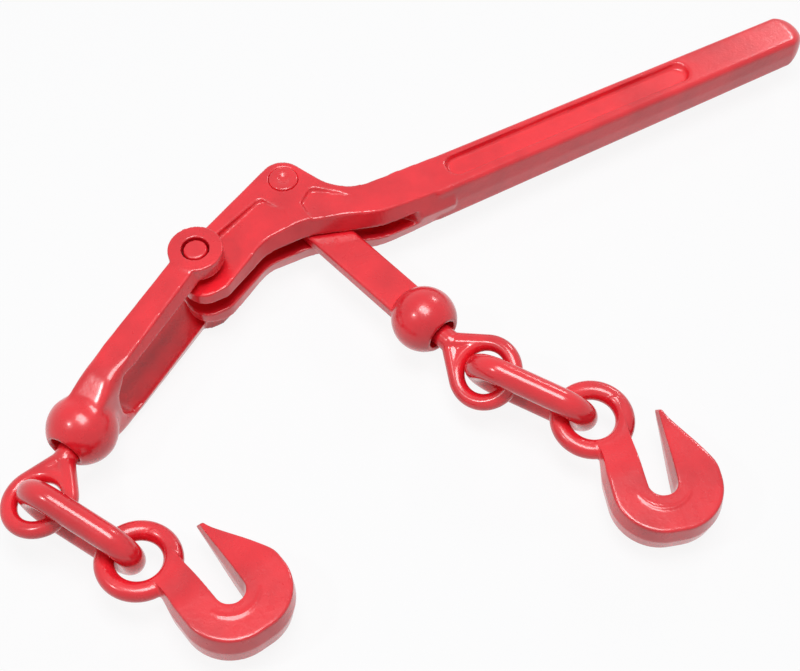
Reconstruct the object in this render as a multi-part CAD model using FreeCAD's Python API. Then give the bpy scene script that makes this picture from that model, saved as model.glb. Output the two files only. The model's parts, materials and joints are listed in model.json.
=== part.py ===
"""Lever load binder with swivel grab hooks, drop-forged steel, for 3/8 inch chain.

Handle frame used while building: origin on the yoke trunnion axis in the middle plane
of the head, +X along the grip, +Y towards the back of the head, +Z along the pivots.
Everything is moved at the end so that the origin is the bottom centre of the whole
object. All lengths are millimetres and all angles degrees.
"""
import FreeCAD, Part
import os
from math import atan2, cos, degrees, radians, sin, sqrt, tan

V = FreeCAD.Vector

# ---- clearances ----
running_gap = 0.3          # between pieces that touch loosely
side_play = 0.8            # yoke arm to head cheek, each side
trunnion_play = 1.1        # trunnion in the yoke eye, radial
rivet_play = 0.08          # rivet in the eye of the link bar, radial
slot_play = 0.85           # link bar to cheek, each side

# ---- head of the handle ----
head_thickness = 34.8
pivot_offset = (65.5, 28.9)     # rivet axis from the trunnion axis
hump_radius = 13.4              # back of the head round the rivet
hump_corner = (71.0, 47.0)      # where the two straight lines of the back would meet
back_corner = (91.4, 5.4)       # where the back turns into the line of the grip
cheek_draft = 5.0               # belly edge of a cheek leans in by this
back_draft = 0.8                # other edges of a cheek lean in by this
head_end = 150.0                # where the head has run out into the grip
slope_start = 88.0              # where the cheeks start to slope down to the grip
nose_left = -13.0
nose_bottom = -22.4
belly_step = 1.6                # belly of the head lies this much below the grip
web_line_angle = -48.4          # the web behind the link bar, direction from the rivet
web_clearance = 2.0             # web to the edge of the link bar when fully open
panel_depth = 3.6               # recess of the front panel at its step
rear_panel_depth = 2.2
trunnion_radius = 6.6
trunnion_sunk = 0.6             # trunnion end below the outer face of the yoke arm

# ---- grip of the handle ----
grip_axis = -6.4                # grip centre line below the trunnion axis
grip_start = 136.0
grip_end = 398.5
grip_width = 27.4
grip_tip_width = 25.0
grip_thickness = 26.4
grip_tip_thickness = 21.6
grip_draft = 0.7
grip_edge_round = 3.0
pocket_start = 152.4
pocket_end = 316.3
pocket_width = 14.8
pocket_depth = 2.2
pocket_axis = -5.4

# ---- yoke ----
yoke_length = 109.8             # trunnion axis to ball centre
yoke_arm_thickness = 9.9
yoke_boss_radius = 15.0
yoke_arm_half_width = 9.8       # at the boss, inner side
yoke_arm_tip_half_width = 10.4   # at the ball, inner side
yoke_face_half_width = 6.9      # at the boss, outer side, where the bevels end
yoke_face_tip_half_width = 6.8
yoke_taper = 3.2                # outer faces come together by this on each side
yoke_ball_radius = 19.0
yoke_bridge_start = 88.0        # inner end of the fork
yoke_shoulder = 88.0            # where the outer faces turn in to the ball
yoke_rest_angle = 212.1         # yoke direction in the handle frame, at rest

# ---- link bar and rivet ----
bar_length = 115.4              # rivet axis to ball centre
bar_half_width = 11.0
bar_thickness = 8.5
bar_edge_round = 1.5
bar_ball_radius = 18.0
bar_rest_angle = -74.9
rivet_radius = 5.5
rivet_head_radius = 8.3
rivet_head_depth = 3.0
rivet_proud = 0.4
rivet_dimple_radius = 3.0
rivet_dimple_depth = 0.8

# ---- swivel eyes and their sockets ----
mouth_radius = 8.9
mouth_flare = 1.6
cavity_radius = 11.4
cavity_depth = 9.0              # cavity reaches this far each way from the ball centre
button_radius = 10.0
button_thickness = 5.0
button_room = 1.5               # lets the button tip in its cavity
neck_radius = 6.2
neck_end = 21.5                 # from the ball centre, where the neck flares out
eye_distance = 45.6             # ball centre to ring centre
eye_ring_radius = 16.1          # to the middle of the ring's round section
eye_wire_radius = 4.5

# ---- connecting links ----
link_wire_radius = 6.9
link_bend_radius = 14.5         # to the middle of the wire
link_reach = 61.8               # between the middles of the wire at the two ends

# ---- grab hooks ----
hook_thickness = 22.4
hook_ring_radius = 17.2
hook_ring_wire = 5.2
bowl_centre = (46.3, 26.3)
bowl_reach = (27.2, 29.5)       # from its centre to the far end and to each side
bowl_corner = 26.4
throat_centre = (44.8, 24.2)
throat_radius = 6.75
throat_draft = 0.9
throat_flare = (2.4, 4.1)       # the shank side and the point side open by this at the mouth
point_corner = (0.4, 38.2)
hook_edge_round = 1.5

# ---- how the two chains lie, slack on the floor ----
# eye_tilt: the eye's axis from the axis of its ball; eye_out: how far it is drawn out of the ball
# eye_roll and link_roll: turns about their own axes
# link_seat: from the middle of the eye to the wire of the link; hook_seat: from the wire of the
# link to the middle of the hook's ring; both along the link, sideways and across its width
yoke_lie = {"eye_tilt": 8.0, "eye_out": 0.0, "eye_roll": 10.0,
            "link_heading": -58.7, "link_slope": 8.9, "link_roll": 4.0,
            "link_seat": (-4.9, 0.0, 3.2), "hook_seat": (3.5, -1.2, 1.0),
            "hook_heading": -79.8, "hook_tilt": -1.4, "hook_roll": -5.0}
bar_lie = {"eye_tilt": 0.0, "eye_out": 1.3, "eye_roll": 28.0,
           "link_heading": -53.9, "link_slope": 5.7, "link_roll": -8.0,
           "link_seat": (-4.5, 0.0, 1.8), "hook_seat": (4.1, -0.6, 0.2),
           "hook_heading": -107.7, "hook_tilt": 3.7, "hook_roll": 0.0}

# ---- sizes that follow ----
half_head = head_thickness / 2
arm_inner = half_head + side_play
arm_outer = arm_inner + yoke_arm_thickness
half_slot = bar_thickness / 2 + slot_play
eye_hole_radius = eye_ring_radius - eye_wire_radius
hook_hole_radius = hook_ring_radius - hook_ring_wire
rivet_axis = V(pivot_offset[0], pivot_offset[1], 0)


# ---- general helpers ----
def rounded_wire(corners, height=0.0):
    """Closed wire through corners (x, y, radius), each corner a tangent arc."""
    points = [V(x, y, height) for x, y, _ in corners]
    radii = [r for _, _, r in corners]
    count = len(points)
    starts, ends, middles = [], [], []
    for i in range(count):
        before = (points[i - 1] - points[i]).normalize()
        after = (points[(i + 1) % count] - points[i]).normalize()
        half_angle = before.getAngle(after) / 2
        reach = radii[i] / tan(half_angle)
        bisector = (before + after).normalize()
        centre = points[i] + bisector * (radii[i] / sin(half_angle))
        starts.append(points[i] + before * reach)
        ends.append(points[i] + after * reach)
        middles.append(centre - bisector * radii[i])
    edges = []
    for i in range(count):
        if radii[i] > 0:
            edges.append(Part.Arc(starts[i], middles[i], ends[i]).toShape())
        edges.append(Part.LineSegment(ends[i], starts[(i + 1) % count]).toShape())
    return Part.Wire(edges)


def plate(corners, bottom, top):
    """Flat plate of a rounded outline between two heights."""
    return Part.Face(rounded_wire(corners, bottom)).extrude(V(0, 0, top - bottom))


def drafted(mid_corners, face_corners, half_height):
    """Forged blank: widest at the parting plane, narrower at both faces."""
    middle = rounded_wire(mid_corners)
    upper = Part.makeLoft([middle, rounded_wire(face_corners, half_height)], True, True)
    lower = Part.makeLoft([middle, rounded_wire(face_corners, -half_height)], True, True)
    return upper.fuse(lower).removeSplitter()


def cylinder(radius, bottom, top, x=0.0, y=0.0):
    return Part.makeCylinder(radius, top - bottom, V(x, y, bottom))


def axial(radius, start, end):
    """Cylinder along X."""
    return Part.makeCylinder(radius, end - start, V(start, 0, 0), V(1, 0, 0))


def turned(profile):
    """Solid turned about X from (x, radius) points that start and end on the axis."""
    points = [V(x, r, 0) for x, r in profile]
    face = Part.Face(Part.makePolygon(points + [points[0]]))
    return face.revolve(V(0, 0, 0), V(1, 0, 0), 360)


def heading(angle, slope=0.0):
    """Unit vector at a plan angle, sloping down by slope."""
    a, s = radians(angle), radians(slope)
    return V(cos(a) * cos(s), sin(a) * cos(s), -sin(s))


def frame_at(origin, x_axis, near_z):
    """Placement with local X along x_axis and local Z as near near_z as it can be."""
    x = V(x_axis).normalize()
    z = (near_z - x * near_z.dot(x)).normalize()
    y = z.cross(x)
    turn = FreeCAD.Rotation(x, y, z, "XYZ")
    return FreeCAD.Placement(origin, turn)


def placed(shape, placement):
    copy = shape.copy()
    copy.Placement = placement
    return copy


def one_solid(shape):
    """The single solid of a finished piece."""
    return shape.removeSplitter().Solids[0]


# ---- lever handle ----
def head_corners(belly_lean, lean):
    """Outline of the head; the belly edge leans in more than the others."""
    belly_end = grip_axis - grip_width / 2 - belly_step
    back_end = grip_axis + grip_width / 2 - 0.4
    return [
        (nose_left + lean, nose_bottom + lean, 12.3),
        (7.5, nose_bottom + lean, 10.0),
        (38.0, -8.0 + belly_lean, 24.0),
        (64.0, -7.8 + belly_lean, 28.0),
        (104.0, belly_end + belly_lean, 40.0),
        (head_end, belly_end + belly_lean, 0.5),
        (head_end, back_end - lean, 0.5),
        (back_corner[0] - lean, back_corner[1] - lean, 26.0),
        (hump_corner[0] - lean / 2, hump_corner[1] - 1.3 * lean, hump_radius - lean),
        (nose_left + lean, 7.0 - lean, 10.0),
    ]


def head_blank():
    """Drafted head whose faces slope down to the grip behind the web."""
    blank = drafted(head_corners(0, 0), head_corners(cheek_draft, back_draft), half_head)
    end_height = grip_thickness / 2 - 0.6
    side = [V(-60, 0, -half_head), V(-60, 0, half_head), V(slope_start, 0, half_head),
            V(head_end, 0, end_height), V(head_end, 0, -end_height),
            V(slope_start, 0, -half_head)]
    envelope = Part.Face(Part.makePolygon(side + [side[0]])).extrude(V(0, 200, 0))
    envelope.translate(V(0, -100, 0))
    return blank.common(envelope)


def grip_corners(lean):
    half, tip_half = grip_width / 2 - lean, grip_tip_width / 2 - lean
    return [
        (grip_start, grip_axis - half, 5.0),
        (grip_end - lean, grip_axis - tip_half, tip_half - 0.2),
        (grip_end - lean, grip_axis + tip_half, tip_half - 0.2),
        (grip_start, grip_axis + half, 5.0),
    ]


def grip_blank():
    """Grip that gets narrower and thinner towards its round tip."""
    half = grip_thickness / 2
    blank = drafted(grip_corners(0), grip_corners(grip_draft), half)
    tip_half = grip_tip_thickness / 2
    tip_round = tip_half - 2.0
    side = [(grip_start - 1, -half, 0), (head_end, -half, 0), (grip_end, -tip_half, tip_round),
            (grip_end, tip_half, tip_round), (head_end, half, 0), (grip_start - 1, half, 0)]
    envelope = plate(side, -60, 60)
    envelope.rotate(V(0, 0, 0), V(1, 0, 0), 90)
    return blank.common(envelope)


def slot_tool():
    """Space between the cheeks, closed by the web on the grip side."""
    eye_room = bar_half_width + web_clearance
    along = heading(web_line_angle)
    outward = V(-along.y, along.x, 0)
    start = rivet_axis + outward * eye_room
    wall = pivot_offset[0] + eye_room
    rise = start + along * ((wall - start.x) / along.x)
    exit_point = start + along * ((-60.0 - start.y) / along.y)
    corners = [(-60.0, -60.0, 0), (exit_point.x, exit_point.y, 0),
               (rise.x, rise.y, eye_room), (wall, 70.0, 0), (-60.0, 70.0, 0)]
    return plate(corners, -half_slot, half_slot)


def panel_tool(corners, hinge, deepest, depth):
    """Recess whose floor falls from the face at hinge to depth at the point deepest."""
    fall = V(deepest[0] - hinge[0], deepest[1] - hinge[1], 0)
    tool = plate(corners, 0, half_head)
    axis = V(0, 0, 1).cross(fall)
    tool.translate(V(-hinge[0], -hinge[1], 0))
    tool.rotate(V(0, 0, 0), axis, degrees(atan2(depth, fall.Length)))
    tool.translate(V(hinge[0], hinge[1], half_head))
    return tool


def front_panel():
    """Recess round the trunnion, open to the nose and the belly."""
    corners = [(-60.0, -60.0, 0), (56.5, -60.0, 0), (56.5, 9.0, 5.0),
               (48.0, 22.8, 4.0), (-60.0, -16.9, 0)]
    return panel_tool(corners, (56.0, -4.0), (28.0, 15.0), panel_depth)


def rear_panel():
    """Smaller recess behind the rivet, open to the belly."""
    corners = [(66.8, -60.0, 0), (96.0, -60.0, 0), (96.0, -0.5, 5.0),
               (76.0, 16.4, 4.0), (66.8, 9.0, 3.0)]
    return panel_tool(corners, (82.0, -9.0), (79.0, 11.0), rear_panel_depth)


def pocket_tool():
    """Long shallow pocket in the face of the grip."""
    half = pocket_width / 2
    end_round = half - 0.6
    corners = [(pocket_start, pocket_axis - half, end_round),
               (pocket_end, pocket_axis - half, end_round),
               (pocket_end, pocket_axis + half, end_round),
               (pocket_start, pocket_axis + half, end_round)]
    far_half = grip_thickness / 2
    near_half = grip_thickness / 2 - (grip_thickness - grip_tip_thickness) / 2 \
        * (pocket_end - head_end) / (grip_end - head_end)
    tilt = degrees(atan2(far_half - near_half, pocket_end - head_end))
    tool = plate(corners, -pocket_depth, 20.0)
    tool.rotate(V(head_end, 0, 0), V(0, 1, 0), tilt)
    tool.translate(V(0, 0, far_half))
    return tool


def both_faces(tool):
    """A tool for the upper face together with its mirror for the lower face."""
    return [tool, tool.mirror(V(0, 0, 0), V(0, 0, 1))]


def lever_handle():
    grip = grip_blank()
    grip = grip.makeFillet(grip_edge_round, face_rim(grip))
    body = head_blank().fuse(grip)
    tools = [slot_tool()]
    for tool in (front_panel(), rear_panel(), pocket_tool()):
        tools += both_faces(tool)
    body = body.cut(tools)
    floor = half_head - panel_depth - 2.0
    trunnion = cylinder(trunnion_radius, floor, arm_outer - trunnion_sunk)
    trunnion = trunnion.makeFillet(1.2, top_edges(trunnion))
    body = body.fuse(both_faces(trunnion))
    hole = cylinder(rivet_radius, -half_head - 5, half_head + 5, *pivot_offset)
    seat = cylinder(rivet_head_radius + 0.05, half_head - rivet_head_depth,
                    half_head + 5, *pivot_offset)
    return one_solid(body.cut([hole] + both_faces(seat)))


def face_rim(shape):
    """Edges that lie round the two broad faces of a blank."""
    top = shape.BoundBox.ZMax
    rim = []
    for edge in shape.Edges:
        heights = [abs(v.Point.z) for v in edge.Vertexes]
        if min(heights) > top * 0.7:
            rim.append(edge)
    return rim


def top_edges(shape):
    """Edges that lie wholly in the highest plane of a shape."""
    top = shape.BoundBox.ZMax
    return [e for e in shape.Edges if e.BoundBox.ZMin > top - 0.001]


def link_rivet():
    """Rivet with low round heads set into the cheeks, each with a dimple."""
    end = half_head + rivet_proud
    head_start = half_head - rivet_head_depth
    body = cylinder(rivet_radius - rivet_play, -end, end)
    head = cylinder(rivet_head_radius, head_start, end)
    head = head.makeFillet(1.0, top_edges(head))
    dimple = Part.makeCone(rivet_dimple_radius - 1, rivet_dimple_radius,
                           rivet_dimple_depth, V(0, 0, end - rivet_dimple_depth))
    body = body.fuse(both_faces(head)).cut(both_faces(dimple))
    body.translate(rivet_axis)
    return one_solid(body)


# ---- ball sockets, shared by the yoke and the link bar ----
def socket_tool():
    """Mouth and cavity of a ball socket whose centre is the origin, open to +X."""
    cavity = axial(cavity_radius, -cavity_depth, cavity_depth)
    cavity = cavity.makeFillet(2.0, [e for e in cavity.Edges
                                     if abs(e.BoundBox.XMin + cavity_depth) < 0.01
                                     and abs(e.BoundBox.XMax + cavity_depth) < 0.01])
    flare = turned([(cavity_depth, 0), (cavity_depth, mouth_radius),
                    (cavity_depth + 5, mouth_radius),
                    (cavity_depth + 9, mouth_radius + mouth_flare),
                    (cavity_depth + 14, mouth_radius + mouth_flare), (cavity_depth + 14, 0)])
    return cavity.fuse(flare)


def trimmed_ball(radius):
    """Ball cut flat where its mouth opens."""
    ball = Part.makeSphere(radius)
    flat = sqrt(radius ** 2 - (mouth_radius + 2.0) ** 2)
    return ball.cut(Part.makeBox(radius, 4 * radius, 4 * radius,
                                 V(flat, -2 * radius, -2 * radius)))


# ---- yoke ----
def yoke_arm():
    """One arm: wide at the cheek, bevelled to a narrow outer face."""
    inner = Part.makePolygon([V(0, -yoke_arm_half_width, arm_inner),
                              V(yoke_length - 8, -yoke_arm_tip_half_width, arm_inner),
                              V(yoke_length - 8, yoke_arm_tip_half_width, arm_inner),
                              V(0, yoke_arm_half_width, arm_inner),
                              V(0, -yoke_arm_half_width, arm_inner)])
    near, far = yoke_face_half_width, yoke_face_tip_half_width
    outer = Part.makePolygon([V(0, -near, arm_outer), V(yoke_length - 8, -far, arm_outer),
                              V(yoke_length - 8, far, arm_outer), V(0, near, arm_outer),
                              V(0, -near, arm_outer)])
    return Part.makeLoft([inner, outer], True, True)


def yoke_bridge():
    """Block between the arms that carries the ball."""
    half = yoke_arm_tip_half_width
    corners = [(yoke_bridge_start - 6, -half, 0.5), (yoke_length, -half, 0.5),
               (yoke_length, half, 0.5), (yoke_bridge_start - 6, half, 0.5)]
    return plate(corners, -arm_inner - 1, arm_inner + 1)


def yoke_side_envelope():
    """Side view of the fork: parallel arms that turn in to the ball."""
    ball_side = yoke_ball_radius * 0.85
    outer = [(-30.0, arm_outer, 0), (-30.0, -arm_outer, 0), (0.0, -arm_outer, 0),
             (yoke_shoulder, yoke_taper - arm_outer, 12.0), (yoke_length - 4, -ball_side, 2.0),
             (yoke_length, -ball_side, 0), (yoke_length, ball_side, 0),
             (yoke_length - 4, ball_side, 2.0), (yoke_shoulder, arm_outer - yoke_taper, 12.0),
             (0.0, arm_outer, 0)]
    inner = [(-31.0, arm_inner, 0), (-31.0, -arm_inner, 0),
             (yoke_bridge_start, -arm_inner, 14.0), (yoke_bridge_start, arm_inner, 14.0)]
    envelope = plate(outer, -60, 60).cut(plate(inner, -60, 60))
    envelope.rotate(V(0, 0, 0), V(1, 0, 0), 90)
    return envelope


def yoke():
    arms = [yoke_arm().fuse(yoke_bridge())]
    arms += [yoke_arm().mirror(V(0, 0, 0), V(0, 0, 1))]
    fork = arms[0].fuse(arms[1]).common(yoke_side_envelope())
    for boss in both_faces(cylinder(yoke_boss_radius, arm_inner, arm_outer)):
        fork = fork.fuse(boss)
    ball = trimmed_ball(yoke_ball_radius)
    ball.translate(V(yoke_length, 0, 0))
    socket = socket_tool()
    socket.translate(V(yoke_length, 0, 0))
    bore = cylinder(trunnion_radius + trunnion_play, -arm_outer - 1, arm_outer + 1)
    return one_solid(fork.fuse(ball).cut([socket, bore]))


# ---- link bar ----
def link_bar():
    corners = [(-bar_half_width, -bar_half_width, bar_half_width - 0.01),
               (bar_length, -bar_half_width, 0.5), (bar_length, bar_half_width, 0.5),
               (-bar_half_width, bar_half_width, bar_half_width - 0.01)]
    flat = plate(corners, -bar_thickness / 2, bar_thickness / 2)
    flat = flat.makeFillet(bar_edge_round, face_rim(flat))
    ball = trimmed_ball(bar_ball_radius)
    ball.translate(V(bar_length, 0, 0))
    socket = socket_tool()
    socket.translate(V(bar_length, 0, 0))
    bore = cylinder(rivet_radius, -20, 20)
    return one_solid(flat.fuse(ball).cut([socket, bore]))


# ---- swivel eye ----
def oval_section(x, half_width, half_height):
    """Oval wire across the X axis, wider in Y than in Z."""
    oval = Part.Ellipse(V(x, half_width, 0), V(x, 0, half_height), V(x, 0, 0))
    return Part.Wire(oval.toShape())


def swivel_eye():
    """Button head, neck and ring; local origin is the ball centre, ring axis is Z."""
    seat = cavity_depth - running_gap - button_room
    button = turned([(seat - button_thickness, 0), (seat - button_thickness, button_radius - 2),
                     (seat - button_thickness + 2, button_radius),
                     (seat, button_radius), (seat, neck_radius),
                     (neck_end, neck_radius), (neck_end, 0)])
    flare_end = eye_distance - eye_ring_radius * 0.55
    sections = [oval_section(neck_end - 3, neck_radius - 0.1, neck_radius - 0.2),
                oval_section(flare_end, eye_ring_radius + 2.7, eye_wire_radius + 0.4)]
    flare = Part.makeLoft(sections, True, True)
    ring = Part.makeTorus(eye_ring_radius, eye_wire_radius, V(eye_distance, 0, 0))
    hole = Part.makeCylinder(eye_hole_radius + 1.2, 40, V(eye_distance, 0, -20))
    return one_solid(button.fuse(flare.cut(hole)).fuse(ring))


# ---- connecting link ----
def connecting_link():
    """Oval of round wire in the local XY plane; the wire middles lie at X 0 and reach."""
    r, w = link_bend_radius, link_wire_radius
    far = link_reach - r
    bends = []
    for centre, angle in ((r, 90), (far, -90)):
        section = Part.Face(Part.Wire(Part.makeCircle(w, V(centre, r, 0), V(1, 0, 0))))
        bend = section.revolve(V(centre, 0, 0), V(0, 0, 1), 180 if angle > 0 else -180)
        bends.append(bend)
    limbs = [Part.makeCylinder(w, far - r, V(r, side * r, 0), V(1, 0, 0))
             for side in (-1, 1)]
    return one_solid(bends[0].fuse([bends[1]] + limbs))


# ---- grab hook ----
def hook_body_corners(lean):
    """Outline of shank, bowl and point, without the throat."""
    cx, cy = bowl_centre
    rx, ry = bowl_reach[0] - lean, bowl_reach[1] - lean
    r = bowl_corner - lean
    tip_x, tip_y = point_corner
    return [
        (0.0, -5.0 + lean, 3.0),
        (cx - 25.0, -1.6 + lean, 20.0),
        (cx - 12.0, cy - ry - 0.4, 22.0),
        (cx + rx, cy - ry, r),
        (cx + rx, cy + ry, r),
        (cx - 7.0, cy + ry, 18.0),
        (tip_x + 2 * lean, tip_y - lean, 1.2),
        (tip_x + 2 * lean, cy, 1.0),
        (tip_x - 2.0, cy - 7.0, 4.0),
        (-11.0, 15.0 - lean, 6.0),
    ]


def throat_corners(widen):
    """Slot that takes a chain link on edge, open at the point."""
    cx, cy = throat_centre
    r = throat_radius + widen
    shank_side, point_side = throat_flare
    return [(-30.0, cy - r - shank_side, 0), (cx + r, cy - r, r - 0.01),
            (cx + r, cy + r, r - 0.01), (-30.0, cy + r + point_side, 0)]


def grab_hook():
    """Ring and hook; local origin is the ring centre, X points to the bowl."""
    half = hook_thickness / 2
    body = drafted(hook_body_corners(0), hook_body_corners(1.4), half)
    body = body.makeFillet(hook_edge_round, face_rim(body))
    middle = rounded_wire(throat_corners(0))
    throat = []
    for side in (-1, 1):
        outer = rounded_wire(throat_corners(throat_draft), side * (half + 0.5))
        throat.append(Part.makeLoft([middle, outer], True, True))
    body = body.cut(throat)
    ring = Part.makeTorus(hook_ring_radius, hook_ring_wire)
    hole = cylinder(hook_hole_radius + 1.4, -30, 30)
    return one_solid(body.cut(hole).fuse(ring))


# ---- rest positions ----
def chain_at(ball, axis, lie):
    """Placements of a swivel eye, its link and its hook, hanging from a ball socket."""
    up = V(0, 0, 1)
    eye_axis = FreeCAD.Rotation(up, lie["eye_tilt"]).multVec(axis)
    ring_axis = FreeCAD.Rotation(eye_axis, lie["eye_roll"]).multVec(up)
    eye_seat = ball + eye_axis * lie["eye_out"]
    eye_centre = eye_seat + eye_axis * eye_distance
    along = heading(lie["link_heading"], lie["link_slope"])
    across = (ring_axis - along * ring_axis.dot(along)).normalize()
    across = FreeCAD.Rotation(along, lie["link_roll"]).multVec(across)
    side = along.cross(across)
    ahead, sideways, up_width = lie["link_seat"]
    near_end = eye_centre + along * ahead + side * sideways + across * up_width
    far_end = near_end + along * link_reach
    ahead, sideways, up_width = lie["hook_seat"]
    hook_place = far_end + along * ahead + side * sideways + across * up_width
    hook_x = heading(lie["hook_heading"], lie["hook_tilt"])
    hook_up = FreeCAD.Rotation(hook_x, lie["hook_roll"]).multVec(up)
    return {"eye": frame_at(eye_seat, eye_axis, ring_axis),
            "link": frame_at(near_end, along, side),
            "hook": frame_at(hook_place, hook_x, hook_up),
            "eye_axis": eye_axis, "eye_centre": eye_centre, "ring_axis": ring_axis,
            "bend_centre": far_end - along * link_bend_radius, "link_normal": side}


def build():
    """All nodes in the handle frame, and the joint places."""
    yoke_axis = heading(yoke_rest_angle)
    bar_axis = heading(bar_rest_angle)
    yoke_ball = yoke_axis * yoke_length
    bar_ball = rivet_axis + bar_axis * bar_length
    chains = {"yoke": chain_at(yoke_ball, yoke_axis, yoke_lie),
              "bar": chain_at(bar_ball, bar_axis, bar_lie)}
    up = V(0, 0, 1)
    nodes = {
        "lever_handle": lever_handle(),
        "link_rivet": link_rivet(),
        "yoke": placed(yoke(), frame_at(V(0, 0, 0), yoke_axis, up)),
        "link_bar": placed(link_bar(), frame_at(rivet_axis, bar_axis, up)),
    }
    joints = {"yoke": (V(0, 0, 0), up), "link_bar": (rivet_axis, up)}
    eye, link, hook = swivel_eye(), connecting_link(), grab_hook()
    for side, ball in (("yoke", yoke_ball), ("bar", bar_ball)):
        chain = chains[side]
        nodes[side + "_swivel_eye"] = placed(eye, chain["eye"])
        nodes[side + "_connecting_link"] = placed(link, chain["link"])
        nodes[side + "_grab_hook"] = placed(hook, chain["hook"])
        joints[side + "_swivel"] = (ball, chain["eye_axis"])
        joints[side + "_link"] = (chain["eye_centre"], chain["ring_axis"])
        joints[side + "_hook"] = (chain["bend_centre"], chain["link_normal"])
    return nodes, joints, chains


def main():
    nodes, joints, _ = build()
    box = Part.makeCompound(list(nodes.values())).optimalBoundingBox()
    shift = V(-box.Center.x, -box.Center.y, -box.ZMin)
    os.makedirs("parts", exist_ok=True)
    for name, shape in nodes.items():
        shape.translate(shift)
        shape.exportStep("parts/%s.step" % name)
        print("%-22s volume %9.1f valid %s" % (name, shape.Volume, shape.isValid()))
    print("shift", shift, "size", box.XLength, box.YLength, box.ZLength)
    for name, (place, axis) in joints.items():
        place = place + shift
        print("joint %-12s %8.3f %8.3f %8.3f  axis %.5f %.5f %.5f"
              % (name, place.x, place.y, place.z, axis.x, axis.y, axis.z))


main()
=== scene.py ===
"""Lever load binder in red enamel: the looks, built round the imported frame. Metres, +Z up."""

import json
from math import cos, pi, radians, sin

import bmesh
import bpy
import numpy as np
from mathutils import Matrix, Vector


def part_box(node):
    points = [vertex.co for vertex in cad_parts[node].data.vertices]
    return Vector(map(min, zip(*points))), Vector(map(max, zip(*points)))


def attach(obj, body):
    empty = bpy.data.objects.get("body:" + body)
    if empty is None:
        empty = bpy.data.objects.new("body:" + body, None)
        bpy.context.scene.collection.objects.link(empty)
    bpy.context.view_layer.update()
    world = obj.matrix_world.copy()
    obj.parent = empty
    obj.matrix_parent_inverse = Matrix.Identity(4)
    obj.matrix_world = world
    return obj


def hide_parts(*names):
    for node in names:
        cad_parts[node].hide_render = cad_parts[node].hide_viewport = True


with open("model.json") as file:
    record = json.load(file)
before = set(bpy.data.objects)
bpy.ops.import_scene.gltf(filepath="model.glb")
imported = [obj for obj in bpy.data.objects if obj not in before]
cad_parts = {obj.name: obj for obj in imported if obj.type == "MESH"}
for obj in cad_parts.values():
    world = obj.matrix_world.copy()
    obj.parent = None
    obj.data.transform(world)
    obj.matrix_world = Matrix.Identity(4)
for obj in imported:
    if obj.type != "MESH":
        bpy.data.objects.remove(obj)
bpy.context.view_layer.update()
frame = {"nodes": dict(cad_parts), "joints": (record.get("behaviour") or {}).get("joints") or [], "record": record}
joints = {j["name"]: j for j in frame["joints"]}
mounts = {m["name"]: m for m in frame["record"]["mounts"]}
MM = 0.001

# ---- sizes that the pieces share with the frame ----
# a size with MM is in metres; the rest, for shapes worked out in a piece's own frame, are in mm
EYE_RING = 16.1 * MM            # ring centre to the middle of its wire
EYE_WIRE = 4.5 * MM
EYE_ROOT = 26.6 * MM            # ring centre to where its shoulders meet
EYE_WEBS = 9                    # limbs side by side that fill the eye between its shoulders
NECK = 6.2 * MM
BUTTON = 10.0 * MM
BUTTON_SEAT = 38.4 * MM         # ring centre to the front of the button
BUTTON_THICK = 5.0 * MM
LINK_WIRE = 6.9 * MM
LINK_BEND = 14.5 * MM
LINK_REACH = 61.8 * MM
RIVET_SHANK = 5.42 * MM
RIVET_HEAD = 8.3 * MM
RIVET_HEAD_DEPTH = 3.0 * MM
HOOK_HALF_THICK = 11.2
HOOK_WIRE = 5.2                 # round section of the hook's ring
HOOK_RING = 17.2                # ring centre to the middle of its wire
HOOK_SHANK_FULL = 40.0          # from here the shank is as thick as the bowl
HOOK_SPARE = 1.2                # full thickness stays this much inside the limit
HOOK_THROAT = (32.8, 24.2)      # mount point of a throat in the hook's own frame
HOOK_MIDDLE = (37.106, 22.0)    # volume middle of a hook in its own frame
THROAT_END = (44.8, 24.2)
POINT_SIDE = 29.0               # sideways from the ring, past here is the point
POINT_THINNING = 0.55           # share of its thickness that the point loses at its tip
POINT_LEAN = 1.6                # outer edge of the point comes in by this at its tip
BEAD_RADIUS = 14.6
BEAD_THICK = 1.15
BEAD_FLATNESS = 0.8
POCKET_LINE = (159.8, 308.9)    # middle line of the grip's pocket, from the trunnion axis
POCKET_AXIS = -5.4
POCKET_HALF_WIDTH = 7.4
POCKET_WALL = 1.6
POCKET_PRESS = 1.5              # the pocket's floor is pressed in by this
GRIP_TIP = 398.5                # from the trunnion axis
TIP_ROUNDS = 90
ARM_BLEND = (72, 84, 104, 110)  # arms start to blend, are blended, still are, stop, from the pivot
ARM_ROUNDS = 60


# ---- meshes ----
def grid_mesh(bm_name, points, around=True, along=False):
    """Quads between neighbours of a grid of points; a direction that is closed joins its ends."""
    rows, cols = points.shape[:2]
    i = np.arange(rows if along else rows - 1)[:, None]
    j = np.arange(cols if around else cols - 1)[None, :]
    i2, j2 = (i + 1) % rows, (j + 1) % cols
    quads = np.stack([i * cols + j, i * cols + j2, i2 * cols + j2, i2 * cols + j], axis=-1)
    mesh = bpy.data.meshes.new(bm_name)
    mesh.from_pydata(points.reshape(-1, 3).tolist(), [], quads.reshape(-1, 4).tolist())
    tidy(mesh)
    return mesh


def tidy(mesh):
    """Merges doubles at poles and seams and turns the faces outwards."""
    bm = bmesh.new()
    bm.from_mesh(mesh)
    bmesh.ops.remove_doubles(bm, verts=bm.verts, dist=1e-6)
    bmesh.ops.dissolve_degenerate(bm, edges=bm.edges, dist=1e-7)
    bmesh.ops.recalc_face_normals(bm, faces=bm.faces)
    bm.to_mesh(mesh)
    bm.free()


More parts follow.
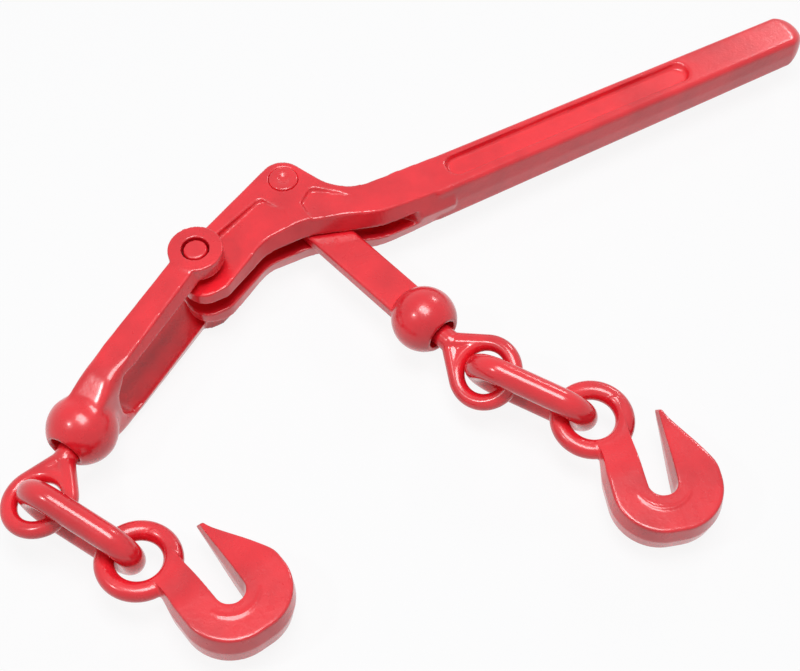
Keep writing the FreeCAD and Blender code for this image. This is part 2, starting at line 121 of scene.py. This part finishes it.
def basis(axis, near):
    """Unit vectors: the axis, near made square to it, and the third one."""
    a = np.array(axis, float)
    a /= np.linalg.norm(a)
    n = np.array(near, float)
    n -= a * (n @ a)
    n /= np.linalg.norm(n)
    return a, n, np.cross(a, n)


def turned(name, profile, start, axis, near, steps=64):
    """Turned surface: start + axis * along + radius * (near cos t + third sin t)."""
    a, n, m = basis(axis, near)
    t = np.linspace(0, 2 * pi, steps, endpoint=False)
    ring = n * np.cos(t)[:, None] + m * np.sin(t)[:, None]
    profile = np.array(profile, float)
    points = (np.array(start, float) + profile[:, :1, None] * a
              + profile[:, 1:, None] * ring[None, :, :])
    return grid_mesh(name, points)


def ring_mesh(name, centre, axis, near, big, small, steps=96, sides=32):
    """Torus: centre + (big + small cos v) * outward(u) + small sin v * axis."""
    a, n, m = basis(axis, near)
    u = np.linspace(0, 2 * pi, steps, endpoint=False)
    v = np.linspace(0, 2 * pi, sides, endpoint=False)
    out = n * np.cos(u)[:, None] + m * np.sin(u)[:, None]
    points = (np.array(centre, float) + (big + small * np.cos(v))[None, :, None] * out[:, None, :]
              + (small * np.sin(v))[None, :, None] * a)
    return grid_mesh(name, points, around=True, along=True)


def limb_mesh(name, start, end, radius_start, radius_end, steps=24, sides=32):
    """Round limb with domed ends: radius blends evenly and falls as a half circle at each end."""
    start, end = np.array(start, float), np.array(end, float)
    length = np.linalg.norm(end - start)
    t = np.linspace(0, pi / 2, 8)
    head = np.stack([-radius_start * np.cos(t), radius_start * np.sin(t)], axis=1)
    tail = np.stack([length + radius_end * np.sin(t), radius_end * np.cos(t)], axis=1)
    s = np.linspace(0, 1, steps)[1:-1]
    middle = np.stack([length * s, radius_start + (radius_end - radius_start) * s], axis=1)
    axis = end - start
    near = np.cross(axis, (0.3, 0.2, 1.0))
    return turned(name, np.concatenate([head, middle, tail]), start, axis, near, sides)


def joined(name, meshes):
    """One object from several closed shells."""
    bm = bmesh.new()
    for mesh in meshes:
        bm.from_mesh(mesh)
        bpy.data.meshes.remove(mesh)
    mesh = bpy.data.meshes.new(name)
    bm.to_mesh(mesh)
    bm.free()
    return linked(name, mesh)


def linked(name, mesh):
    piece = bpy.data.objects.new(name, mesh)
    bpy.context.scene.collection.objects.link(piece)
    return piece


def node_copy(name, node):
    """A merged copy of a CAD node's mesh, as a new object."""
    mesh = frame["nodes"][node].data.copy()
    mesh.name = name
    mesh.materials.clear()
    tidy(mesh)
    return linked(name, mesh)


def forged(piece, voxel, rounds):
    """Remeshes the shells into one skin of small quads and rounds its edges as a die does."""
    remesh = piece.modifiers.new("skin", "REMESH")
    remesh.mode = "VOXEL"
    remesh.voxel_size = voxel
    soften = piece.modifiers.new("die_rounding", "SMOOTH")
    soften.factor = 0.5
    soften.iterations = rounds
    bpy.context.view_layer.update()
    done = bpy.data.meshes.new_from_object(piece.evaluated_get(
        bpy.context.evaluated_depsgraph_get()))
    piece.modifiers.clear()
    old = piece.data
    piece.data = done
    bpy.data.meshes.remove(old)
    return piece


def blended(piece, weights, rounds):
    """Moves each point towards the mean of its neighbours, again and again, by its weight."""
    edges = np.zeros(len(piece.data.edges) * 2, np.int32)
    piece.data.edges.foreach_get("vertices", edges)
    a, b = edges.reshape(-1, 2).T
    co = coords(piece)
    count = np.bincount(np.concatenate([a, b]), minlength=len(co))[:, None]
    for _ in range(rounds):
        total = np.stack([np.bincount(a, co[b, k], len(co)) + np.bincount(b, co[a, k], len(co))
                          for k in range(3)], axis=1)
        co += 0.5 * weights[:, None] * (total / count - co)
    move_points(piece, co)


def coords(piece):
    co = np.zeros(len(piece.data.vertices) * 3)
    piece.data.vertices.foreach_get("co", co)
    return co.reshape(-1, 3)


def move_points(piece, co):
    piece.data.vertices.foreach_set("co", co.ravel())
    piece.data.update()


def smoothstep(x, low, high):
    t = np.clip((x - low) / (high - low), 0, 1)
    return t * t * (3 - 2 * t)


def volume_middle(node):
    """Volume middle of a CAD node, from the tetrahedra between its triangles and the origin."""
    mesh = frame["nodes"][node].data
    mesh.calc_loop_triangles()
    tri = np.zeros(len(mesh.loop_triangles) * 3, np.int32)
    mesh.loop_triangles.foreach_get("vertices", tri)
    co = np.zeros(len(mesh.vertices) * 3)
    mesh.vertices.foreach_get("co", co)
    p = co.reshape(-1, 3)[tri.reshape(-1, 3)]
    six = np.einsum("ij,ij->i", p[:, 0], np.cross(p[:, 1], p[:, 2]))
    return (p.sum(axis=1) * six[:, None]).sum(axis=0) / (4 * six.sum())


def finish_piece(piece, material, body, node):
    """Smooth shading, material, the body it rides on, and the CAD node it stands for."""
    mesh = piece.data
    mesh.polygons.foreach_set("use_smooth", [True] * len(mesh.polygons))
    mesh.materials.clear()
    mesh.materials.append(material)
    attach(piece, body)
    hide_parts(node)
    return piece


# ---- materials ----
def enamel(name, colour, deep, roughness, peel, dents):
    """Gloss enamel brushed over a forged skin: colour drifts a little, the skin's dents show."""
    material = bpy.data.materials.new(name)
    material.use_nodes = True
    nodes, links = material.node_tree.nodes, material.node_tree.links
    shader = nodes["Principled BSDF"]
    place = nodes.new("ShaderNodeTexCoord")

    def noise(scale, detail, rough=0.5):
        tex = nodes.new("ShaderNodeTexNoise")
        tex.inputs["Scale"].default_value = scale
        tex.inputs["Detail"].default_value = detail
        tex.inputs["Roughness"].default_value = rough
        links.new(place.outputs["Object"], tex.inputs["Vector"])
        return tex

    drift = noise(38.0, 3.0)
    ramp = nodes.new("ShaderNodeValToRGB")
    ramp.color_ramp.elements[0].position = 0.32
    ramp.color_ramp.elements[0].color = (*deep, 1)
    ramp.color_ramp.elements[1].position = 0.62
    ramp.color_ramp.elements[1].color = (*colour, 1)
    links.new(drift.outputs["Fac"], ramp.inputs["Fac"])
    links.new(ramp.outputs["Color"], shader.inputs["Base Color"])
    streaks = noise(130.0, 4.0)
    gloss = nodes.new("ShaderNodeMapRange")
    gloss.inputs["To Min"].default_value = roughness - 0.07
    gloss.inputs["To Max"].default_value = roughness + 0.10
    links.new(streaks.outputs["Fac"], gloss.inputs["Value"])
    links.new(gloss.outputs["Result"], shader.inputs["Roughness"])
    skin = noise(240.0, 4.0, 0.6)
    orange_peel = noise(900.0, 2.0)
    low = nodes.new("ShaderNodeBump")
    low.inputs["Strength"].default_value = dents
    low.inputs["Distance"].default_value = 0.0006
    links.new(skin.outputs["Fac"], low.inputs["Height"])
    fine = nodes.new("ShaderNodeBump")
    fine.inputs["Strength"].default_value = peel
    fine.inputs["Distance"].default_value = 0.0002
    links.new(orange_peel.outputs["Fac"], fine.inputs["Height"])
    links.new(low.outputs["Normal"], fine.inputs["Normal"])
    links.new(fine.outputs["Normal"], shader.inputs["Normal"])
    shader.inputs["Coat Weight"].default_value = 0.45
    shader.inputs["Coat Roughness"].default_value = 0.12
    shader.inputs["Specular IOR Level"].default_value = 0.5
    return material


RED = (0.82, 0.014, 0.026)
DEEP_RED = (0.64, 0.008, 0.018)


# ---- forged bodies ----
def lever_handle(material):
    """Lever whose grip has a round-ended pocket pressed into each side."""
    piece = forged(node_copy("handle_forging", "lever_handle"), 0.85 * MM, 3)
    x, y, z = ((coords(piece) - np.array(joints["yoke_pivot"]["pos_m"])) / MM).T
    to_line = np.hypot(x - np.clip(x, *POCKET_LINE), y - POCKET_AXIS)
    wall_top = POCKET_HALF_WIDTH - 0.1
    press = POCKET_PRESS * (1 - smoothstep(to_line, wall_top - POCKET_WALL, wall_top))
    move_points(piece, coords(piece) - np.outer(press * np.sign(z) * MM, (0, 0, 1)))
    blended(piece, smoothstep(x, GRIP_TIP - 13, GRIP_TIP - 4), TIP_ROUNDS)
    return finish_piece(piece, material, "handle", "lever_handle")


def rivet(material):
    """Turned rivet: low domed heads with a dimple, on a plain shank."""
    low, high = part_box("link_rivet")
    half = (high.z - low.z) / 2
    centre = Vector(((low.x + high.x) / 2, (low.y + high.y) / 2, (low.z + high.z) / 2))
    t = np.linspace(0, pi / 2, 6)
    edge = 1.1 * MM
    corner = [(half - edge + edge * sin(a), RIVET_HEAD - edge + edge * cos(a)) for a in t]
    top = [(half - RIVET_HEAD_DEPTH, RIVET_SHANK), (half - RIVET_HEAD_DEPTH, RIVET_HEAD)] + corner
    top += [(half, 3.4 * MM), (half - 0.35 * MM, 2.9 * MM), (half - 0.8 * MM, 2.0 * MM),
            (half - 0.9 * MM, 0.0)]
    bottom = [(-x, r) for x, r in reversed(top)]
    mesh = turned("link_rivet_turned", bottom + top, centre, (0, 0, 1), (1, 0, 0))
    piece = linked("link_rivet_turned", mesh)
    return finish_piece(piece, material, "handle", "link_rivet")


def yoke(material):
    """Fork whose arms run into the ball in one soft sweep."""
    piece = forged(node_copy("yoke_forging", "yoke"), 0.7 * MM, 4)
    pivot = np.array(joints["yoke_pivot"]["pos_m"])
    ball = np.array(joints["yoke_swivel_spin"]["pos_m"])
    axis = (ball - pivot) / np.linalg.norm(ball - pivot)
    along = (coords(piece) - pivot) @ axis / MM
    start, full, last, end = ARM_BLEND
    share = smoothstep(along, start, full) * (1 - smoothstep(along, last, end))
    blended(piece, share, ARM_ROUNDS)
    return finish_piece(piece, material, "yoke", "yoke")


def link_bar(material):
    """Flat bar with an eye at one end and a ball at the other."""
    piece = forged(node_copy("link_bar_forging", "link_bar"), 0.6 * MM, 4)
    return finish_piece(piece, material, "link_bar", "link_bar")


# ---- swivel eyes ----
def swivel_eye(side, material):
    """Ring filled by a fan of limbs towards a round neck with a button on its end."""
    spin, swing = joints[side + "_swivel_spin"], joints[side + "_link_swing"]
    centre = np.array(swing["pos_m"])
    axis, ring_axis, across = basis(spin["axis"], swing["axis"])
    meshes = [ring_mesh("ring", centre, ring_axis, axis, EYE_RING, EYE_WIRE)]
    spread = np.arccos(EYE_RING / EYE_ROOT)         # where a line from the root touches the ring
    for turn in np.linspace(-spread, spread, EYE_WEBS):
        outward = across * sin(turn) - axis * cos(turn)
        start = centre - axis * (EYE_ROOT - 1.5 * MM) + across * 1.2 * MM * turn / spread
        edge = abs(turn) / spread
        end_radius = (3.6 + 0.9 * edge ** 2) * MM
        start_radius = (4.4 + 0.8 * edge) * MM
        meshes.append(limb_mesh("web", start, centre + outward * EYE_RING,
                                start_radius, end_radius))
    front = -BUTTON_SEAT
    back = front - BUTTON_THICK
    profile = [(back, 0), (back, BUTTON - 2 * MM), (back + 2 * MM, BUTTON), (front, BUTTON),
               (front, NECK)]
    profile += [(front + x * MM, NECK) for x in (2, 4, 6, 8, 10, 12)]
    profile += [(-23.1 * MM, NECK - 0.8 * MM), (-21.6 * MM, NECK - 3 * MM), (-21.1 * MM, 0)]
    meshes.append(turned("neck", profile, centre, axis, ring_axis))
    piece = forged(joined(side + "_eye_forging", meshes), 0.55 * MM, 5)
    return finish_piece(piece, material, side + "_swivel", side + "_swivel_eye")


# ---- connecting links ----
def connecting_link(side, material, steps=160, sides=36):
    """Round bar bent to an oval: two half circles of the bend joined by straight limbs."""
    node = side + "_connecting_link"
    bend_centre = np.array(joints[side + "_hook_swing"]["pos_m"])
    normal = np.array(joints[side + "_hook_swing"]["axis"])
    middle = volume_middle(node)
    normal, along, across = basis(normal, bend_centre - middle)
    half = LINK_REACH / 2 - LINK_BEND
    total = 4 * half + 2 * pi * LINK_BEND
    s = np.linspace(0, total, steps, endpoint=False)
    arc = pi * LINK_BEND
    # one limb forwards, the far bend, the other limb back, the near bend
    leg = np.clip(s, 0, 2 * half)
    far = np.clip(s - 2 * half, 0, arc) / LINK_BEND
    back = np.clip(s - 2 * half - arc, 0, 2 * half)
    near = np.clip(s - 4 * half - arc, 0, arc) / LINK_BEND
    x = -half + leg + LINK_BEND * np.sin(far) - back - LINK_BEND * np.sin(near)
    y = -LINK_BEND * np.cos(far) * (near == 0) + LINK_BEND * np.cos(near) * (near > 0)
    turn = far + near
    out = along * np.sin(turn)[:, None] - across * np.cos(turn)[:, None]
    path = middle + along * x[:, None] + across * y[:, None]
    v = np.linspace(0, 2 * pi, sides, endpoint=False)
    points = (path[:, None, :] + LINK_WIRE * np.cos(v)[None, :, None] * out[:, None, :]
              + LINK_WIRE * np.sin(v)[None, :, None] * normal)
    piece = linked(side + "_link_bent_bar", grid_mesh(side + "_link_bent_bar", points, True, True))
    return finish_piece(piece, material, side + "_link", node)


# ---- grab hooks ----
def hook_axes(side):
    """Ring centre and axes of a hook, from its throat mount and its volume middle."""
    mount = mounts[side + "_hook_throat_mount"]
    up = np.array(mount["axis"])
    throat = np.array(mount["pos_m"])
    offset = volume_middle(side + "_grab_hook") - throat
    local = (np.array(HOOK_MIDDLE) - np.array(HOOK_THROAT)) * MM
    up, first, second = basis(up, offset)
    turn = np.arctan2(local[1], local[0])
    x_axis = first * cos(turn) - second * sin(turn)
    y_axis = np.cross(up, x_axis)
    centre = throat - (x_axis * HOOK_THROAT[0] + y_axis * HOOK_THROAT[1]) * MM
    return centre, x_axis, y_axis, up


def raised_arc(side, axes):
    """Small raised bead on the face below the throat: a half-round section along an arc."""
    centre, x_axis, y_axis, up = axes
    t = np.linspace(radians(-75), radians(62), 40)
    v = np.linspace(0, 2 * pi, 16, endpoint=False)
    thick = BEAD_THICK * MM * np.sin(np.linspace(0, pi, 40)) ** 0.4
    out = x_axis * np.cos(t)[:, None] + y_axis * np.sin(t)[:, None]
    path = (centre + (x_axis * THROAT_END[0] + y_axis * THROAT_END[1]) * MM
            + out * BEAD_RADIUS * MM + up * HOOK_HALF_THICK * MM)
    points = (path[:, None, :] + (thick[:, None] * np.cos(v))[:, :, None] * out[:, None, :]
              + (BEAD_FLATNESS * thick[:, None] * np.sin(v))[:, :, None] * up)
    return grid_mesh(side + "_bead", points)


def grab_hook(side, material):
    """Forged hook. Its height over the middle plane is held under a limit, which follows the
    ring's round section and then swells along the shank; the point thins towards its tip."""
    axes = hook_axes(side)
    centre, x_axis, y_axis, up = axes
    piece = node_copy(side + "_hook_forging", side + "_grab_hook")
    shells = [piece.data.copy(), raised_arc(side, axes)]
    bpy.data.objects.remove(piece)
    piece = forged(joined(side + "_hook_forging", shells), 0.62 * MM, 4)
    co = coords(piece) - centre
    x, y, z = co @ x_axis / MM, co @ y_axis / MM, co @ up / MM
    away = np.hypot(x, y)
    inner_side = np.sqrt(np.clip(HOOK_WIRE ** 2 - (HOOK_RING - away) ** 2, 0.04, None))
    limit = np.where(away < HOOK_RING, inner_side, HOOK_WIRE) + 0.15
    swell = HOOK_HALF_THICK - HOOK_WIRE + HOOK_SPARE
    limit += swell * smoothstep(away, HOOK_RING, HOOK_SHANK_FULL)
    limit = np.where(y > POINT_SIDE, HOOK_HALF_THICK + HOOK_SPARE, limit)
    held = z / (1 + (np.abs(z) / limit) ** 8) ** 0.125
    point = (1 - smoothstep(x, 0, 44)) * smoothstep(y, 24, 31)
    held *= 1 - POINT_THINNING * point
    inward = POINT_LEAN * (1 - smoothstep(x, 0, 30)) * smoothstep(y, 34, 40)
    move_points(piece, coords(piece) + ((held - z) * MM)[:, None] * up
                - (inward * MM)[:, None] * y_axis)
    return finish_piece(piece, material, side + "_hook", side + "_grab_hook")


# ---- studio ----
FLOOR_GLOW = 0.90               # share of the floor's look that is its own light
ROOM_LIGHT = 0.13
CAMERA_FROM_PIVOT = (-0.1225, -0.4798, 0.6762)
CAMERA_AZIMUTH, CAMERA_DOWN, CAMERA_ROLL = 62.92, 56.79, -1.13
CAMERA_LENS = 67.5


def plainly_seen(nodes, links, rays):
    """One where a camera, glossy or transmission ray arrives, nought for the rest."""
    first = nodes.new("ShaderNodeMath")
    first.operation = "MAXIMUM"
    links.new(rays.outputs["Is Camera Ray"], first.inputs[0])
    links.new(rays.outputs["Is Glossy Ray"], first.inputs[1])
    second = nodes.new("ShaderNodeMath")
    second.operation = "MAXIMUM"
    links.new(first.outputs[0], second.inputs[0])
    links.new(rays.outputs["Is Transmission Ray"], second.inputs[1])
    return second.outputs[0]


def plain_floor():
    """Wide pale floor; most of its light is its own for the camera and for reflections."""
    half = 20.0
    mesh = bpy.data.meshes.new("floor")
    mesh.from_pydata([(-half, -half, 0), (half, -half, 0), (half, half, 0), (-half, half, 0)],
                     [], [(0, 1, 2, 3)])
    floor = linked("floor", mesh)
    material = bpy.data.materials.new("pale_floor")
    material.use_nodes = True
    nodes, links = material.node_tree.nodes, material.node_tree.links
    nodes.clear()
    output = nodes.new("ShaderNodeOutputMaterial")
    matt = nodes.new("ShaderNodeBsdfDiffuse")
    matt.inputs["Color"].default_value = (0.74, 0.74, 0.77, 1)
    glow = nodes.new("ShaderNodeEmission")
    glow.inputs["Strength"].default_value = 1.0
    rays = nodes.new("ShaderNodeLightPath")
    share = nodes.new("ShaderNodeMath")
    share.operation = "MULTIPLY"
    share.inputs[1].default_value = FLOOR_GLOW
    mix = nodes.new("ShaderNodeMixShader")
    seen = plainly_seen(nodes, links, rays)
    links.new(seen, share.inputs[0])
    links.new(share.outputs[0], mix.inputs[0])
    links.new(matt.outputs[0], mix.inputs[1])
    links.new(glow.outputs[0], mix.inputs[2])
    links.new(mix.outputs[0], output.inputs["Surface"])
    mesh.materials.append(material)


def white_room():
    """Even pale surroundings, white where the camera or a reflection sees them."""
    world = bpy.data.worlds.new("white_room")
    bpy.context.scene.world = world
    world.use_nodes = True
    nodes, links = world.node_tree.nodes, world.node_tree.links
    light = nodes["Background"]
    light.inputs["Color"].default_value = (0.95, 0.96, 1, 1)
    light.inputs["Strength"].default_value = ROOM_LIGHT
    white = nodes.new("ShaderNodeBackground")
    white.inputs["Color"].default_value = (1, 1, 1, 1)
    white.inputs["Strength"].default_value = 1.0
    rays = nodes.new("ShaderNodeLightPath")
    mix = nodes.new("ShaderNodeMixShader")
    links.new(plainly_seen(nodes, links, rays), mix.inputs[0])
    links.new(light.outputs[0], mix.inputs[1])
    links.new(white.outputs[0], mix.inputs[2])
    links.new(mix.outputs[0], nodes["World Output"].inputs["Surface"])


def soft_box(name, place, target, size, power):
    light = bpy.data.lights.new(name, "AREA")
    light.shape = "RECTANGLE"
    light.size, light.size_y = size
    light.energy = power
    lamp = bpy.data.objects.new(name, light)
    bpy.context.scene.collection.objects.link(lamp)
    lamp.location = place
    lamp.rotation_euler = (Vector(target) - Vector(place)).to_track_quat("-Z", "Y").to_euler()


def camera():
    """Camera above the belly side of the handle, looking down across it."""
    pivot = Vector(joints["yoke_pivot"]["pos_m"])
    azimuth, down, roll = radians(CAMERA_AZIMUTH), radians(CAMERA_DOWN), radians(CAMERA_ROLL)
    forward = Vector((cos(down) * cos(azimuth), cos(down) * sin(azimuth), -sin(down)))
    level = Vector((sin(azimuth), -cos(azimuth), 0))
    upward = level.cross(forward)
    right = level * cos(roll) + upward * sin(roll)
    top = right.cross(forward)
    data = bpy.data.cameras.new("camera")
    data.sensor_width = 36.0
    data.lens = CAMERA_LENS
    eye = bpy.data.objects.new("camera", data)
    bpy.context.scene.collection.objects.link(eye)
    turn = Matrix((right, top, -forward)).transposed().to_4x4()
    eye.matrix_world = Matrix.Translation(pivot + Vector(CAMERA_FROM_PIVOT)) @ turn
    bpy.context.scene.camera = eye


def main():
    forging = enamel("forging_enamel", RED, DEEP_RED, 0.27, 0.22, 0.22)
    handle = enamel("handle_enamel_coat", RED, DEEP_RED, 0.30, 0.25, 0.26)
    bent_bar = enamel("bent_bar_enamel", RED, DEEP_RED, 0.22, 0.15, 0.12)
    lever_handle(handle)
    rivet(bent_bar)
    yoke(forging)
    link_bar(forging)
    for side in ("yoke", "bar"):
        swivel_eye(side, bent_bar)
        connecting_link(side, bent_bar)
        grab_hook(side, forging)
    plain_floor()
    white_room()
    soft_box("overhead", (-0.05, -0.02, 1.30), (0, 0, 0), (0.7, 0.5), 12.5)
    soft_box("side", (0.95, 0.55, 0.80), (0, 0, 0), (0.18, 0.18), 2.2)
    soft_box("window", (-0.9, 0.10, 1.1), (-0.1, 0, 0), (0.13, 0.13), 3.0)
    camera()
    bpy.context.scene.view_settings.view_transform = "Standard"


main()
